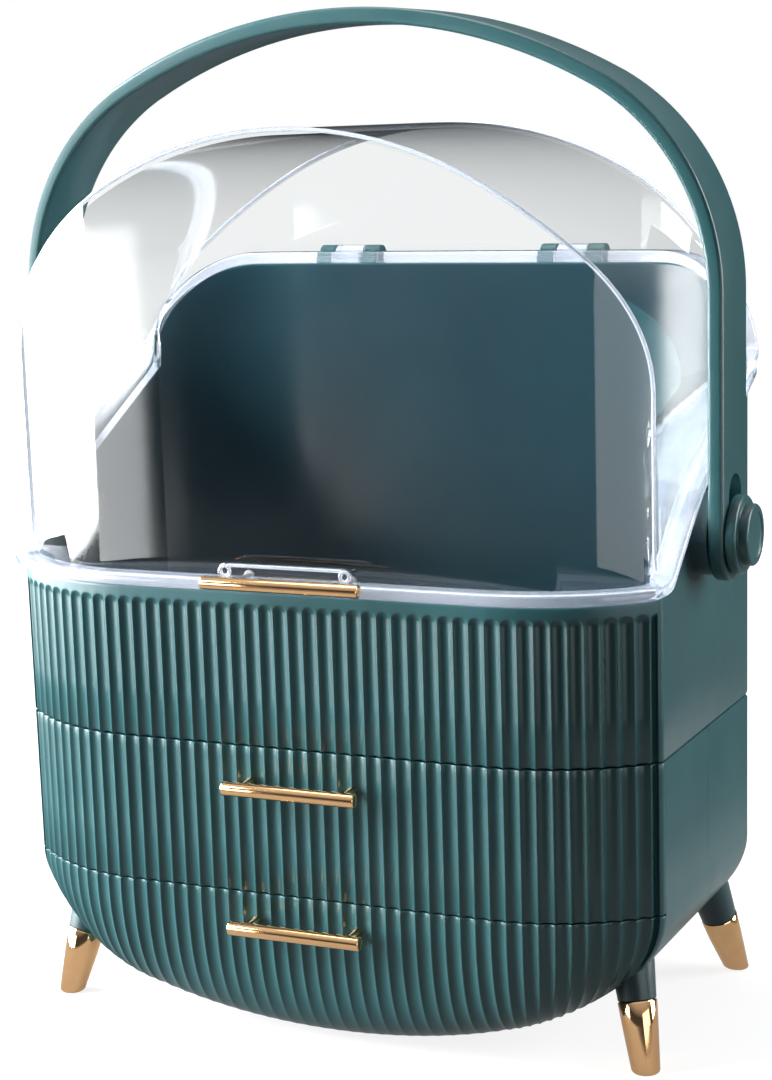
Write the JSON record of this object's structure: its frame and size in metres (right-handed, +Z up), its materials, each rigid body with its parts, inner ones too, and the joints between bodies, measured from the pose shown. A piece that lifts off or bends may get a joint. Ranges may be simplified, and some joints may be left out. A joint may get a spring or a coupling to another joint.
{
  "type": "makeup organizer",
  "caption": "Footed makeup organizer with fluted bowed drawers, an open tray under a hinged clear arched lid, and a slotted carrying handle.",
  "frame": {"origin": "centre of the footprint, on the surface that the feet stand on", "axes": "+Z up, -Y towards the drawer fronts, +X to the right of someone facing the drawers"},
  "size_m": [0.3354, 0.2022, 0.426],
  "materials": {
    "shell_green": "satin-gloss moulded plastic, deep teal green",
    "dark_green": "satin moulded plastic, dark teal green",
    "clear_plastic": "clear polished plastic",
    "rose_gold": "polished rose-gold plating",
    "steel": "zinc-plated steel"
  },
  "bodies": {
    "base": {"upper_casing": "shell_green", "lower_casing": "shell_green", "casing_screws": "steel", "hinge_pins": "steel", "front_left_leg": "shell_green", "front_right_leg": "shell_green", "back_left_leg": "shell_green", "back_right_leg": "shell_green", "front_left_cap": "rose_gold", "front_right_cap": "rose_gold", "back_left_cap": "rose_gold", "back_right_cap": "rose_gold", "leg_screws": "steel", "left_spacer": "shell_green", "right_spacer": "shell_green", "left_pivot_pin": "steel", "right_pivot_pin": "steel", "left_pivot_knob": "shell_green", "right_pivot_knob": "shell_green", "pivot_nuts": "steel"},
    "lid": {"clear_lid": "clear_plastic", "lid_grip_tab": "clear_plastic", "lid_grip_bar": "rose_gold", "lid_grip_screws": "steel"},
    "upper_drawer": {"upper_drawer_box": "dark_green", "upper_drawer_front": "shell_green", "upper_pull_bar": "rose_gold", "upper_pull_screws": "steel", "upper_front_screws": "steel"},
    "lower_drawer": {"lower_drawer_box": "dark_green", "lower_drawer_front": "shell_green", "lower_pull_bar": "rose_gold", "lower_pull_screws": "steel", "lower_front_screws": "steel"},
    "slot_bushes": {"left_slot_bush": "steel", "right_slot_bush": "steel"},
    "handle": {"carry_handle": "shell_green"}
  },
  "joints": [
    {"name": "lid_open", "type": "hinge", "parent": "base", "child": "lid", "pos_m": [0, 0.094, 0.319], "axis": [-1, 0, 0], "range_deg": [0, 90]},
    {"name": "upper_drawer_slide", "type": "slide", "parent": "base", "child": "upper_drawer", "axis": [0, -1, 0], "range_m": [0, 0.095]},
    {"name": "lower_drawer_slide", "type": "slide", "parent": "base", "child": "lower_drawer", "axis": [0, -1, 0], "range_m": [0, 0.08]},
    {"name": "handle_fold", "type": "hinge", "parent": "base", "child": "slot_bushes", "pos_m": [0, -0.008, 0.214], "axis": [-1, 0, 0], "range_deg": [0, 116]},
    {"name": "handle_slide", "type": "slide", "parent": "slot_bushes", "child": "handle", "axis": [0, 0, -1], "range_m": [0, 0.016]}
  ],
  "couplings": [
    {"joint": "handle_fold", "follows": "lid_open", "ratio": 1.28}
  ]
}
